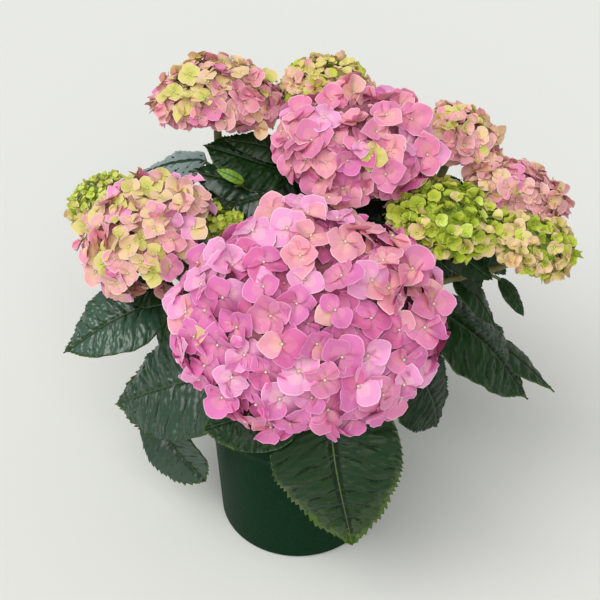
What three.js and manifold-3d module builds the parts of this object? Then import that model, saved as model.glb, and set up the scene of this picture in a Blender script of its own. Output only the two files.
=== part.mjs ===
// Hydrangea shrub in a round plastic pot, in millimetres, +Z up, front towards -Y.
// The origin is the centre of the pot's flat underside.
import * as THREE from 'three';
import { mergeVertices } from 'three/addons/utils/BufferGeometryUtils.js';
import Module from 'manifold-3d';

const wasm = await Module();
wasm.setup();

// Pot and soil
const GAP = 0.3; // clearance between neighbouring pieces
const LEAF_GAP = 0.5; // the same beside a thin, bent blade
const SMOOTHED = 0.08; // cut edges are kept this true
const POT_HEIGHT = 150;
const FOOT_RADIUS = 69.5; // flat underside
const BASE_RADIUS = 72; // wall just above the rounded foot
const FOOT_ROUND = 4;
const BODY_TOP_RADIUS = 77.6; // wall just under the rim band
const RIM_RADIUS = 81;
const RIM_BAND = 16;
const RIM_ROUND = 1; // rounding of the rim's edges
const POT_WALL = 2.2;
const POT_FLOOR = 4;
const POT_SIDES = 32;
const SOIL_LEVEL = 133;
const SOIL_CROWN = 5; // how far the soil rises towards the stems
const SOIL_SIDES = 20;

// Stems
const STEM_SIDES = 6;
const STEM_STEPS = 6;
const STUMP_RADIUS = 17;
const STUMP_HEIGHT = 26;
const STUMP_SIDES = 10;
const CANE_ROOT_RADIUS = 5.2;
const CANE_TIP_RADIUS = 3.4;
const SHOOT_ROOT_RADIUS = 3.8;
const SHOOT_TIP_RADIUS = 2.8;
const CANE_SINK = 6; // how far a cane's foot runs down into the stump

// Leaves
const LEAF_ACROSS = 4; // grid cells across a blade
const LEAF_STALK_STEPS = 2;
const LEAF_BLADE_STEPS = 6;
const BLADE_THICKNESS = 1.6;
const STALK_WIDTH = 4.2;
const TIP_WIDTH = 1.6;
const BLADE_RISE = 0.55; // powers of the blade's outline, base and tip
const BLADE_FALL = 0.8;

// Flower heads and foliage
const HEAD_UNEVEN = 0.035; // height of the lumps, as a part of the radius
const HEAD_LUMP_PITCH = 5;
const FOLIAGE_UNEVEN = 0.13;
const FOLIAGE_LUMP_PITCH = 3.2;

const BLOSSOM_PINK = '#ea82b4';
const BLOSSOM_BLUSH = '#e3a59c';
const BLOSSOM_LIME = '#bccf5c';
const LEAF_GREEN = '#29432c';
const CANE_GREEN = '#5d6a38';
const WOOD_BROWN = '#6b5538';
const POT_GREEN = '#1f4630';
const SOIL_BROWN = '#3a2b20';

const vec = (x, y, z) => new THREE.Vector3(x, y, z);

// Flower heads: the middle of the widest level, the way the head faces, half widths, the height of
// the dome above that level and the depth of the underside below it.
const HEADS = {
  head_front: { at: vec(7, -41, 270), faces: vec(0, -0.66, 0.75), across: 114, deep: 99,
    dome: 74, under: 40, colour: BLOSSOM_PINK, detail: 4, seed: 1 },
  head_centre: { at: vec(49, 92, 344), faces: vec(0.05, -0.25, 1), across: 73, deep: 60,
    dome: 52, under: 32, colour: BLOSSOM_PINK, detail: 3, seed: 2 },
  head_back_left: { at: vec(-70, 146, 345), faces: vec(0.05, 0.45, 1), across: 59, deep: 52,
    dome: 50, under: 19, colour: BLOSSOM_BLUSH, detail: 3, seed: 3 },
  head_back: { at: vec(25, 174, 342), faces: vec(0.02, 0.4, 1), across: 47, deep: 42,
    dome: 38, under: 24, colour: BLOSSOM_LIME, detail: 2, seed: 4 },
  head_back_right: { at: vec(138, 124, 328), faces: vec(0.3, 0.2, 1), across: 42, deep: 38,
    dome: 35, under: 21, colour: BLOSSOM_BLUSH, detail: 2, seed: 5 },
  head_right: { at: vec(190, 84, 300), faces: vec(0.45, 0.15, 1), across: 51, deep: 38,
    dome: 31, under: 17, colour: BLOSSOM_BLUSH, detail: 3, seed: 6 },
  head_lime: { at: vec(124, 47, 298), faces: vec(0.12, -0.1, 1), across: 50, deep: 42,
    dome: 32, under: 20, colour: BLOSSOM_LIME, detail: 3, seed: 7 },
  head_lime_right: { at: vec(198, 38, 280), faces: vec(0.4, -0.1, 1), across: 42, deep: 37,
    dome: 28, under: 18, colour: BLOSSOM_LIME, detail: 2, seed: 8 },
  head_left: { at: vec(-127, 64, 266), faces: vec(-0.35, -0.55, 1), across: 64, deep: 59,
    dome: 48, under: 28, colour: BLOSSOM_BLUSH, detail: 3, seed: 9 },
  head_far_left: { at: vec(-177, 143, 243), faces: vec(-0.4, 0.1, 1), across: 40, deep: 36,
    dome: 32, under: 18, colour: BLOSSOM_LIME, detail: 2, seed: 10 },
  head_bud: { at: vec(-64, 84, 270), faces: vec(-0.1, -0.2, 1), across: 19, deep: 16,
    dome: 13, under: 9, colour: BLOSSOM_LIME, detail: 1, seed: 11 },
};

// Canes rise from the stump to a head; shoots leave a cane part of the way up.
const CANES = {
  cane_front: { foot: vec(4, -10, 0), head: 'head_front' },
  cane_centre: { foot: vec(7, 6, 0), head: 'head_centre' },
  cane_back_left: { foot: vec(-6, 8, 0), head: 'head_back_left' },
  cane_back_right: { foot: vec(12, 9, 0), head: 'head_back_right' },
  cane_right: { foot: vec(12, -3, 0), head: 'head_lime' },
  cane_left: { foot: vec(-11, -1, 0), head: 'head_left' },
};
const SHOOTS = {
  shoot_back: { cane: 'cane_centre', from: 0.45, head: 'head_back' },
  shoot_right: { cane: 'cane_back_right', from: 0.5, head: 'head_right' },
  shoot_lime_right: { cane: 'cane_right', from: 0.5, head: 'head_lime_right' },
  shoot_far_left: { cane: 'cane_left', from: 0.4, head: 'head_far_left' },
  shoot_bud: { cane: 'cane_back_left', from: 0.4, head: 'head_bud' },
};

// Leaves: the cane the stalk leaves and how far up, the blade's base and tip, the way its upper
// side faces, its greatest width, how far its midrib arches and how far its edges rise (part of
// the half width).
const LEAVES = {
  leaf_front: { cane: 'cane_front', from: 0.45, base: vec(22, -70, 216), tip: vec(47, -121, 78),
    faces: vec(-0.1, -1, 0.55), width: 110, arch: 20, lift: -0.1 },
  leaf_front_left: { cane: 'cane_front', from: 0.4, base: vec(6, -66, 196),
    tip: vec(-82, -70, 166), faces: vec(-0.1, -0.6, 1), width: 66, arch: 6, lift: 0 },
  leaf_low_left: { cane: 'cane_left', from: 0.35, base: vec(-38, -34, 200), tip: vec(-165, 2, 125),
    faces: vec(-0.3, -0.6, 1), width: 96, arch: 16, lift: -0.05 },
  leaf_under_left: { cane: 'cane_left', from: 0.45, base: vec(-133, 4, 116), tip: vec(-84, -30, 57),
    faces: vec(-0.5, -0.75, 0.5), width: 50, arch: 8, lift: 0.4 },
  leaf_left: { cane: 'cane_left', from: 0.55, base: vec(-112, 58, 202), tip: vec(-212, 36, 156),
    faces: vec(-0.25, -0.35, 1), width: 72, arch: 12, lift: 0.08 },
  leaf_left_small: { cane: 'cane_left', from: 0.7, base: vec(-108, 50, 222),
    tip: vec(-151, 53, 205), faces: vec(-0.2, -0.3, 1), width: 32, arch: 4, lift: 0 },
  leaf_right: { cane: 'cane_right', from: 0.4, base: vec(117, 46, 200), tip: vec(210, 18, 115),
    faces: vec(0.55, -0.2, 1), width: 84, arch: 14, lift: -0.05 },
  leaf_right_back: { cane: 'cane_right', from: 0.3, base: vec(142, 52, 172), tip: vec(239, 38, 105),
    faces: vec(0.5, -0.1, 1), width: 38, arch: 10, lift: 0 },
  leaf_right_low: { cane: 'cane_front', from: 0.3, base: vec(93, -42, 214), tip: vec(122, -38, 137),
    faces: vec(0.7, -0.7, 0.4), width: 68, arch: 10, lift: -0.1 },
  leaf_right_inner: { cane: 'cane_right', from: 0.65, base: vec(135, 60, 230),
    tip: vec(176, 42, 184), faces: vec(0.4, -0.3, 1), width: 29, arch: 6, lift: 0 },
  leaf_right_small: { cane: 'shoot_lime_right', from: 0.6, base: vec(178, 60, 224),
    tip: vec(202, 44, 193), faces: vec(0.4, -0.5, 1), width: 17, arch: 3, lift: 0 },
  leaf_upper_left: { cane: 'cane_back_left', from: 0.6, base: vec(-5, 110, 297),
    tip: vec(-83, 122, 324), faces: vec(0, -0.5, 1), width: 54, arch: 6, lift: 0 },
  leaf_far_left: { cane: 'cane_back_left', from: 0.55, base: vec(-84, 178, 266),
    tip: vec(-147, 184, 250), faces: vec(-0.1, 0.05, 1), width: 50, arch: 5, lift: 0 },
  leaf_back_left: { cane: 'cane_back_left', from: 0.4, base: vec(-70, 104, 212),
    tip: vec(-142, 188, 150), faces: vec(-0.4, 0.5, 1), width: 92, arch: 16, lift: -0.05 },
  leaf_back: { cane: 'cane_centre', from: 0.35, base: vec(16, 100, 214), tip: vec(28, 212, 142),
    faces: vec(0, 0.6, 1), width: 104, arch: 18, lift: -0.05 },
  leaf_back_right: { cane: 'cane_back_right', from: 0.4, base: vec(92, 100, 212),
    tip: vec(158, 178, 140), faces: vec(0.4, 0.5, 1), width: 92, arch: 16, lift: -0.05 },
  leaf_back_low: { cane: 'cane_centre', from: 0.15, base: vec(-20, 84, 172), tip: vec(-34, 132, 66),
    faces: vec(-0.1, 1, 0.5), width: 88, arch: 14, lift: -0.05 },
  leaf_back_low_right: { cane: 'cane_back_right', from: 0.15, base: vec(74, 62, 172),
    tip: vec(132, 104, 84), faces: vec(0.6, 0.6, 0.6), width: 84, arch: 12, lift: -0.05 },
};

// Inner foliage between the canes: middle, half sizes and seed
const FOLIAGE = {
  foliage_front: { at: vec(10, -34, 178), size: vec(52, 30, 26), seed: 21 },
  foliage_left: { at: vec(-78, 28, 190), size: vec(46, 40, 30), seed: 22 },
  foliage_right: { at: vec(86, 28, 196), size: vec(46, 36, 32), seed: 23 },
  foliage_back: { at: vec(8, 84, 212), size: vec(60, 38, 38), seed: 24 },
  foliage_upper_left: { at: vec(-52, 108, 206), size: vec(38, 34, 30), seed: 25 },
  foliage_upper_right: { at: vec(148, 68, 248), size: vec(32, 22, 22), seed: 26 },
};

// ---- solids -------------------------------------------------------------------------------

// A three.js geometry as a solid for joining and cutting.
function toSolid(geometry) {
  const bare = geometry.clone();
  bare.deleteAttribute('normal');
  bare.deleteAttribute('uv');
  const merged = mergeVertices(bare, 1e-4);
  return new wasm.Manifold(new wasm.Mesh({
    numProp: 3,
    vertProperties: new Float32Array(merged.attributes.position.array),
    triVerts: new Uint32Array(merged.index.array),
  }));
}

// A solid as a flat-shaded three.js geometry.
function toGeometry(solid) {
  const { vertProperties, triVerts } = solid.getMesh();
  const geometry = new THREE.BufferGeometry();
  geometry.setAttribute('position', new THREE.BufferAttribute(new Float32Array(vertProperties), 3));
  geometry.setIndex(new THREE.BufferAttribute(new Uint32Array(triVerts), 1));
  geometry.computeVertexNormals();
  return geometry;
}

// Moves every vertex of a geometry through a function of its position.
function reshape(geometry, place) {
  const positions = geometry.attributes.position;
  const point = new THREE.Vector3();
  for (let i = 0; i < positions.count; i++) {
    point.fromBufferAttribute(positions, i);
    const moved = place(point);
    positions.setXYZ(i, moved.x, moved.y, moved.z);
  }
  return geometry;
}

// What is left of a solid once the pieces it meets are cut away, in one body.
function cutClear(solid, cutters) {
  let rest = solid;
  for (const cutter of cutters) rest = rest.subtract(cutter);
  const bodies = rest.simplify(SMOOTHED).decompose();
  return bodies.reduce((best, body) => (body.volume() > best.volume() ? body : best));
}

// ---- pot and soil ---------------------------------------------------------------------------

const lathe = (points, sides) => new THREE.LatheGeometry(
  points.map(([radius, height]) => new THREE.Vector2(radius, height)), sides).rotateX(Math.PI / 2);

function potSolid(grow = 0) {
  const bandBase = POT_HEIGHT - RIM_BAND;
  const floor = POT_FLOOR + grow;
  return toSolid(lathe([
    [0, -grow],
    [FOOT_RADIUS + grow, -grow],
    [BASE_RADIUS - FOOT_ROUND / 6 + grow, FOOT_ROUND / 3],
    [BASE_RADIUS + grow, FOOT_ROUND],
    [BODY_TOP_RADIUS + grow, bandBase - grow],
    [RIM_RADIUS - RIM_ROUND / 2 + grow, bandBase + RIM_ROUND - grow],
    [RIM_RADIUS + grow, POT_HEIGHT - RIM_ROUND],
    [RIM_RADIUS - RIM_ROUND + grow, POT_HEIGHT + grow],
    [BODY_TOP_RADIUS - POT_WALL + RIM_ROUND - grow, POT_HEIGHT + grow],
    [BODY_TOP_RADIUS - POT_WALL - grow, bandBase],
    [BASE_RADIUS - POT_WALL - grow, floor + FOOT_ROUND / 2],
    [BASE_RADIUS - POT_WALL - FOOT_ROUND / 2 - grow, floor],
    [0, floor],
  ], POT_SIDES));
}

function soilSolid(grow = 0) {
  const bottom = POT_FLOOR + GAP;
  const inset = POT_WALL + 2 * GAP;
  return toSolid(lathe([
    [0, bottom],
    [BASE_RADIUS - inset - FOOT_ROUND, bottom],
    [BASE_RADIUS - inset, bottom + FOOT_ROUND],
    [BODY_TOP_RADIUS - inset, SOIL_LEVEL - SOIL_CROWN / 2 + grow],
    [BODY_TOP_RADIUS / 2, SOIL_LEVEL + grow],
    [0, SOIL_LEVEL + SOIL_CROWN + grow],
  ], SOIL_SIDES));
}

// ---- stems ----------------------------------------------------------------------------------

// A round limb along a curve, tapering from its foot to its tip.
function limbSolid({ curve, foot, tip }, grow = 0) {
  const round = new THREE.CylinderGeometry(1, 1, 1, STEM_SIDES, STEM_STEPS).translate(0, 0.5, 0);
  const aside = vec(0.8, 0.6, 0);
  return toSolid(reshape(round, (p) => {
    const along = curve.getTangentAt(p.y);
    const across = aside.clone().addScaledVector(along, -aside.dot(along)).normalize();
    const third = across.clone().cross(along).normalize();
    const radius = THREE.MathUtils.lerp(foot, tip, p.y) + grow;
    return curve.getPointAt(p.y)
      .addScaledVector(across, p.x * radius)
      .addScaledVector(third, p.z * radius)
      .addScaledVector(along, (p.y - 0.5) * 2 * grow);
  }));
}

// The path from a limb's foot to the middle of a head, which it enters from straight below.
function limbCurve(start, leaving, head) {
  const faces = head.faces.clone().normalize();
  const reach = start.distanceTo(head.at);
  return new THREE.CubicBezierCurve3(
    start,
    start.clone().addScaledVector(leaving, reach * 0.4),
    head.at.clone().addScaledVector(faces, -reach * 0.35),
    head.at.clone().addScaledVector(faces, -head.under * 0.3),
  );
}

const stumpTop = SOIL_LEVEL + STUMP_HEIGHT;
const limbs = {};
for (const [name, { foot, head }] of Object.entries(CANES)) {
  const start = vec(foot.x, foot.y, stumpTop - CANE_SINK);
  const leaving = vec(foot.x * 0.05, foot.y * 0.05, 1).normalize();
  limbs[name] = {
    curve: limbCurve(start, leaving, HEADS[head]), foot: CANE_ROOT_RADIUS, tip: CANE_TIP_RADIUS,
  };
}
for (const [name, { cane, from, head }] of Object.entries(SHOOTS)) {
  const { curve } = limbs[cane];
  limbs[name] = {
    curve: limbCurve(curve.getPointAt(from), curve.getTangentAt(from), HEADS[head]),
    foot: SHOOT_ROOT_RADIUS, tip: SHOOT_TIP_RADIUS,
  };
}

// The short woody crown that the canes rise from: flared at the soil, waisted, knobbly on top.
function stumpSolid(grow = 0) {
  return toSolid(lathe([
    [0, SOIL_LEVEL],
    [STUMP_RADIUS + grow, SOIL_LEVEL],
    [STUMP_RADIUS * 0.82 + grow, SOIL_LEVEL + STUMP_HEIGHT * 0.5],
    [STUMP_RADIUS * 0.9 + grow, stumpTop - CANE_SINK],
    [STUMP_RADIUS * 0.6 + grow, stumpTop + grow],
    [0, stumpTop + grow],
  ], STUMP_SIDES));
}

// ---- flower heads and foliage ---------------------------------------------------------------

// Soft lumps over a ball of directions, about -1 to 1.
function lumps(d, seed, pitch) {
  return Math.sin(pitch * d.x + seed) * Math.cos(pitch * d.y + seed * 1.7)
    + 0.5 * Math.sin(pitch * 1.9 * d.z + seed * 2.3) * Math.cos(pitch * 1.7 * d.x - seed);
}

function headSolid({ at, faces, across, deep, dome, under, detail, seed }, grow = 0) {
  const turn = new THREE.Quaternion().setFromUnitVectors(vec(0, 0, 1), faces.clone().normalize());
  return toSolid(reshape(new THREE.IcosahedronGeometry(1, detail), (d) => {
    const height = d.z > 0 ? dome : under;
    const radius = 1 / Math.hypot(d.x / across, d.y / deep, d.z / height);
    const uneven = 1 + HEAD_UNEVEN * lumps(d, seed, HEAD_LUMP_PITCH);
    return d.clone().multiplyScalar(radius * uneven + grow).applyQuaternion(turn).add(at);
  }));
}

function foliageSolid({ at, size, seed }, grow = 0) {
  return toSolid(reshape(new THREE.IcosahedronGeometry(1, 1), (d) => {
    const radius = 1 / Math.hypot(d.x / size.x, d.y / size.y, d.z / size.z);
    const uneven = 1 + FOLIAGE_UNEVEN * lumps(d, seed, FOLIAGE_LUMP_PITCH);
    return d.clone().multiplyScalar(radius * uneven + grow).add(at);
  }));
}

// ---- leaves ---------------------------------------------------------------------------------

// Half the blade's width, as a part of its greatest, from its base (0) to its tip (1).
function bladeOutline(s) {
  const widest = BLADE_RISE / (BLADE_RISE + BLADE_FALL);
  const most = widest ** BLADE_RISE * (1 - widest) ** BLADE_FALL;
  return s ** BLADE_RISE * (1 - s) ** BLADE_FALL / most;
}

// A stalk and blade in one thin piece along a midrib that arches from base to tip.
function leafSolid({ cane, from, base, tip, faces, width, arch, lift }, grow = 0) {
  const root = limbs[cane].curve.getPointAt(from);
  const middle = base.clone().lerp(tip, 0.45).addScaledVector(faces.clone().normalize(), arch);
  const midrib = new THREE.CatmullRomCurve3([root, base, middle, tip], false, 'centripetal');
  const stalk = root.distanceTo(base) / midrib.getLength();
  const steps = LEAF_STALK_STEPS + LEAF_BLADE_STEPS;
  const bladeSide = faces.clone().cross(tip.clone().sub(base)).normalize();
  const grid = new THREE.BoxGeometry(2, 2, 1, LEAF_ACROSS, 1, steps).translate(0, 0, 0.5);
  return toSolid(reshape(grid, (p) => {
    const row = Math.round(p.z * steps);
    const s = Math.max(0, (row - LEAF_STALK_STEPS) / LEAF_BLADE_STEPS);
    const t = row < LEAF_STALK_STEPS ? stalk * row / LEAF_STALK_STEPS : stalk + (1 - stalk) * s;
    const along = midrib.getTangentAt(t);
    const side = bladeSide.clone();
    if (row < LEAF_STALK_STEPS) side.addScaledVector(along, -side.dot(along)).normalize();
    const normal = along.clone().cross(side).normalize();
    const blade = bladeOutline(s) * width / 2;
    const half = Math.max(blade, s > 0.5 ? TIP_WIDTH / 2 : STALK_WIDTH / 2) + grow;
    const thick = (blade > STALK_WIDTH || s > 0.5 ? BLADE_THICKNESS : STALK_WIDTH) / 2 + grow;
    return midrib.getPointAt(t)
      .addScaledVector(side, p.x * half)
      .addScaledVector(normal, p.y * thick + lift * Math.abs(p.x) * blade);
  }));
}

// ---- assembly -------------------------------------------------------------------------------

const plant = new THREE.Group();
const placed = []; // every finished solid, grown by the gap, that later pieces are cut clear of

function addPiece(name, makeSolid, { colour, roughness, gap = GAP }) {
  const solid = cutClear(makeSolid(0), placed);
  placed.push(makeSolid(gap));
  const material = new THREE.MeshStandardMaterial({ color: colour, roughness, metalness: 0 });
  const mesh = new THREE.Mesh(toGeometry(solid), material);
  mesh.name = name;
  plant.add(mesh);
}

addPiece('pot', potSolid, { colour: POT_GREEN, roughness: 0.45 });
addPiece('soil', soilSolid, { colour: SOIL_BROWN, roughness: 0.95 });
addPiece('stump', stumpSolid, { colour: WOOD_BROWN, roughness: 0.85 });
for (const [name, head] of Object.entries(HEADS)) {
  addPiece(name, (grow) => headSolid(head, grow), { colour: head.colour, roughness: 0.6 });
}
for (const [name, limb] of Object.entries(limbs)) {
  addPiece(name, (grow) => limbSolid(limb, grow), { colour: CANE_GREEN, roughness: 0.7 });
}
for (const [name, mass] of Object.entries(FOLIAGE)) {
  addPiece(name, (grow) => foliageSolid(mass, grow), { colour: LEAF_GREEN, roughness: 0.5 });
}
for (const [name, leaf] of Object.entries(LEAVES)) {
  addPiece(name, (grow) => leafSolid(leaf, grow), {
    colour: LEAF_GREEN, roughness: 0.4, gap: LEAF_GAP,
  });
}

export default plant;
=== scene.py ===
"""Looks of the potted hydrangea: florets, leaves, canes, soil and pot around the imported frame."""
import math

import bpy
import numpy as np
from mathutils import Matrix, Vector
from mathutils.bvhtree import BVHTree


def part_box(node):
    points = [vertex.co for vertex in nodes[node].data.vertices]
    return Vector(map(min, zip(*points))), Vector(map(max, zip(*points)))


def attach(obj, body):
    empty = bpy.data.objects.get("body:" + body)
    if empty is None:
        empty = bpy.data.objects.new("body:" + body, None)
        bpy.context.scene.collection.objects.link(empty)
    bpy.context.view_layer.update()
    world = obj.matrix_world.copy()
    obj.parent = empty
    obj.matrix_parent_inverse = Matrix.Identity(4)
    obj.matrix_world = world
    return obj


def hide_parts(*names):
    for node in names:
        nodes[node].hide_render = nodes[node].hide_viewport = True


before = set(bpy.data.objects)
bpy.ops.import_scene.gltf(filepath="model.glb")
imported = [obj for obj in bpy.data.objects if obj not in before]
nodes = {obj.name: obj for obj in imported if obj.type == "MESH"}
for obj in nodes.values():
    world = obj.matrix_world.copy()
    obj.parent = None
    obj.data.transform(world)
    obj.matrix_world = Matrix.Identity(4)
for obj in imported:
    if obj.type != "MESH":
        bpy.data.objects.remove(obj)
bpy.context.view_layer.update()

MM = 0.001
BODY = "root"

# ---- the plant's plan, in millimetres, as the frame has it ----------------------------------

SOIL_LEVEL = 133  # on average; at the pot's wall the soil lies SOIL_BACK lower
SOIL_BACK, SOIL_DOME = 3, 6.5  # and from there it rises SOIL_DOME to the middle
STUMP_HEIGHT, STUMP_RADIUS = 26, 17
CANE_SINK = 6
CANE_RADII = (5.2, 3.4)  # at the foot and at the tip
SHOOT_RADII = (3.8, 2.8)

# Flower heads. at is the middle of the widest level, faces the way the head looks and under the
# depth of its underside. spacing is the space between florets and sepal the length of a sepal.
# open is how flat the sepals lie (0 cup, 1 flat), point how straight a sepal's sides run to its
# tip (0 round fan, 1 kite), loose how irregular the florets stand, and inset how far inside the
# solid they sit, as a share of the sepal. grid is the mesh of a sepal and tint the colour rule.
# The lists of directions, each with its reach, are bare (no florets), thin (inner florets only)
# and accents (other colours). lowest is the lowest height of a direction that has florets.
HEADS = {
    "head_front": dict(
        at=(7, -41, 270), faces=(0, -0.66, 0.75), under=40, spacing=19.5, sepal=24, open=0.9,
        point=0.82, loose=0.24, grid="fine", tint="pink", inset=0.2, lowest=-0.29,
        bare=(((-0.74, 0.36, 0.58), 0.2),),
        thin=(((-0.74, 0.36, 0.58), 0.34), ((0.6, 0.52, 0.61), 0.27)),
        accents=(((-0.9, -0.4, 0.2), 0.16, "peach cream"), ((0.97, -0.15, 0.2), 0.16, "peach"),
                 ((-0.9, -0.1, 0.3), 0.4, "soft pink salmon soft"),
                 ((0, 0.5, 0.86), 0.7, "salmon soft peach salmon soft"),
                 ((0.8, 0.1, 0.55), 0.3, "salmon warm"))),
    "head_centre": dict(
        at=(49, 92, 344), faces=(0.05, -0.25, 1), under=32, spacing=17, sepal=20.5, open=0.86,
        point=0.75, loose=0.28, grid="fine", tint="rose", inset=0.36,
        bare=(((0.05, -0.8, -0.6), 0.3),),
        accents=(((0.43, -0.07, 0.9), 0.2, "green_cream peach"),
                 ((0.1, -0.2, 1), 0.3, "peach salmon"), ((0.17, -0.94, 0.31), 0.12, "green_cream"),
                 ((0.84, -0.48, 0.25), 0.5, "rose soft"))),
    "head_back_left": dict(
        at=(-70, 146, 345), faces=(0.05, 0.45, 1), under=19, spacing=10.6, sepal=13, open=0.8,
        point=0.7, loose=0.32, grid="plain", tint="blush", inset=0.36,
        bare=(((-0.1, -0.8, -0.6), 0.3), ((-0.24, -0.95, 0.05), 0.22)),
        accents=(((-0.45, -0.45, 0.75), 0.4, "green_cream"), ((0.25, 0, 1), 0.45, "cream"))),
    "head_back": dict(
        at=(25, 174, 342), faces=(0.02, 0.4, 1), under=24, spacing=8.9, sepal=9.6, open=0.6,
        point=0.5, loose=0.36, grid="small", tint="cream", inset=0.5),
    "head_back_right": dict(
        at=(138, 124, 328), faces=(0.3, 0.2, 1), under=21, spacing=9.2, sepal=11, open=0.7,
        point=0.5, loose=0.32, grid="plain", tint="peach", inset=0.6,
        bare=(((-0.05, -0.9, -0.4), 0.36),),
        accents=(((-0.45, -0.84, 0.3), 0.4, "salmon"),
                 ((-0.6, -0.1, 0.75), 0.35, "green_cream"))),
    "head_right": dict(
        at=(190, 84, 300), faces=(0.45, 0.15, 1), under=17, spacing=10, sepal=12, open=0.76,
        point=0.45, loose=0.3, grid="plain", tint="dusty", inset=0.55),
    "head_lime": dict(
        at=(124, 47, 298), faces=(0.12, -0.1, 1), under=20, spacing=8.9, sepal=10, open=0.42,
        point=0.4, loose=0.4, grid="plain", tint="lime", inset=0.36),
    "head_lime_right": dict(
        at=(198, 38, 280), faces=(0.4, -0.1, 1), under=18, spacing=8.7, sepal=10, open=0.46,
        point=0.4, loose=0.4, grid="plain", tint="lime_cream", inset=0.55),
    "head_left": dict(
        at=(-127, 64, 266), faces=(-0.35, -0.55, 1), under=28, spacing=12.6, sepal=16, open=0.84,
        point=0.8, loose=0.3, grid="plain", tint="cream_pink", inset=0.16,
        bare=(((0.4, -0.86, -0.3), 0.4), ((-0.05, -0.95, -0.32), 0.4),
              ((0.97, -0.2, 0.05), 0.56)),
        accents=(((-0.36, 0.62, 0.7), 0.42, "young green_cream"),
                 ((0.5, 0, 0.87), 0.5, "cream green_cream cream peach"),
                 ((-0.1, 0.3, 0.95), 0.3, "green_cream cream"))),
    "head_far_left": dict(
        at=(-177, 143, 243), faces=(-0.4, 0.1, 1), under=18, spacing=7.4, sepal=7.4, open=0.35,
        point=0.7, loose=0.4, grid="small", tint="young", inset=0.9,
        accents=(((-0.85, -0.45, 0.2), 0.6, "green_cream young"),)),
    "head_bud": dict(
        at=(-64, 84, 270), faces=(-0.1, -0.2, 1), under=9, spacing=5.4, sepal=6.6, open=0.4,
        point=0.8, loose=0.4, grid="small", tint="bud", inset=-0.5),
}

CANES = {
    "cane_front": ((4, -10), "head_front"), "cane_centre": ((7, 6), "head_centre"),
    "cane_back_left": ((-6, 8), "head_back_left"), "cane_back_right": ((12, 9), "head_back_right"),
    "cane_right": ((12, -3), "head_lime"), "cane_left": ((-11, -1), "head_left"),
}
SHOOTS = {
    "shoot_back": ("cane_centre", 0.45, "head_back"),
    "shoot_right": ("cane_back_right", 0.5, "head_right"),
    "shoot_lime_right": ("cane_right", 0.5, "head_lime_right"),
    "shoot_far_left": ("cane_left", 0.4, "head_far_left"),
    "shoot_bud": ("cane_back_left", 0.4, "head_bud"),
}

# Large leaves: limb and how far up it the stalk starts, blade's base and tip, way the upper side
# faces, width, arch of the midrib, lift of the edges, and how far the yellow-green rim reaches.
LEAVES = {
    "leaf_front": ("cane_front", 0.45, (22, -70, 216), (47, -121, 78), (-0.1, -1, 0.55),
                   110, 20, -0.1, 9.5),
    "leaf_front_left": ("cane_front", 0.4, (6, -66, 196), (-82, -70, 166), (-0.1, -0.6, 1),
                        66, 6, 0, 1.2),
    "leaf_low_left": ("cane_left", 0.35, (-38, -34, 200), (-165, 2, 125), (-0.3, -0.6, 1),
                      96, 16, -0.05, 1.4),
    "leaf_under_left": ("cane_left", 0.45, (-133, 4, 116), (-84, -30, 57), (-0.5, -0.75, 0.5),
                        50, 8, 0.4, 0.8),
    "leaf_left": ("cane_left", 0.55, (-112, 58, 202), (-212, 36, 156), (-0.25, -0.35, 1),
                  72, 12, 0.08, 0.8),
    "leaf_left_small": ("cane_left", 0.7, (-108, 50, 222), (-151, 53, 205), (-0.2, -0.3, 1),
                        32, 4, 0, 0),
    "leaf_right": ("cane_right", 0.4, (117, 46, 200), (210, 18, 115), (0.55, -0.2, 1),
                   84, 14, -0.05, 0.8),
    "leaf_right_back": ("cane_right", 0.3, (142, 52, 172), (239, 38, 105), (0.5, -0.1, 1),
                        38, 10, 0, 1),
    "leaf_right_low": ("cane_front", 0.3, (93, -42, 214), (122, -38, 137), (0.7, -0.7, 0.4),
                       68, 10, -0.1, 0),
    "leaf_right_inner": ("cane_right", 0.65, (135, 60, 230), (176, 42, 184), (0.4, -0.3, 1),
                         29, 6, 0, 0),
    "leaf_right_small": ("shoot_lime_right", 0.6, (178, 60, 224), (202, 44, 193),
                         (0.4, -0.5, 1), 17, 3, 0, 0),
    "leaf_upper_left": ("cane_back_left", 0.6, (-5, 110, 297), (-83, 122, 324), (0, -0.5, 1),
                        54, 6, 0, 0.7),
    "leaf_far_left": ("cane_back_left", 0.55, (-84, 178, 266), (-147, 184, 250),
                      (-0.1, 0.05, 1), 50, 5, 0, 0),
    "leaf_back_left": ("cane_back_left", 0.4, (-70, 104, 212), (-142, 188, 150),
                       (-0.4, 0.5, 1), 92, 16, -0.05, 2),
    "leaf_back": ("cane_centre", 0.35, (16, 100, 214), (28, 212, 142), (0, 0.6, 1),
                  104, 18, -0.05, 2),
    "leaf_back_right": ("cane_back_right", 0.4, (92, 100, 212), (158, 178, 140), (0.4, 0.5, 1),
                        92, 16, -0.05, 2),
    "leaf_back_low": ("cane_centre", 0.15, (-20, 84, 172), (-34, 132, 66), (-0.1, 1, 0.5),
                      88, 14, -0.05, 2),
    "leaf_back_low_right": ("cane_back_right", 0.15, (74, 62, 172), (132, 104, 84),
                            (0.6, 0.6, 0.6), 84, 12, -0.05, 2),
}
# Greens of a leaf's blade and of its hollows, where they aren't DEFAULT_TONES. The darker green of
# the hollows is painted shade, and the paler blades of the left leaves are painted sheen.
DEFAULT_TONES = ("leaf", "leaf_shade")
LEAF_TONES = {
    "leaf_left": ("leaf_wet_sheen", "leaf_gloss"),
    "leaf_low_left": ("leaf_grey_sheen", "leaf_gloss"),
    "leaf_under_left": ("leaf_grey_sheen", "leaf_gloss"),
    "leaf_far_left": ("leaf_sheen", "leaf_gloss"),
    "leaf_upper_left": ("leaf", "leaf_hollow_shade"),
    "leaf_front": ("leaf", "leaf_hollow_shade"),
    "leaf_right": ("leaf", "leaf_hollow_shade"),
    "leaf_right_low": ("leaf_shade", "leaf_deep_shade"),
}
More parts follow.
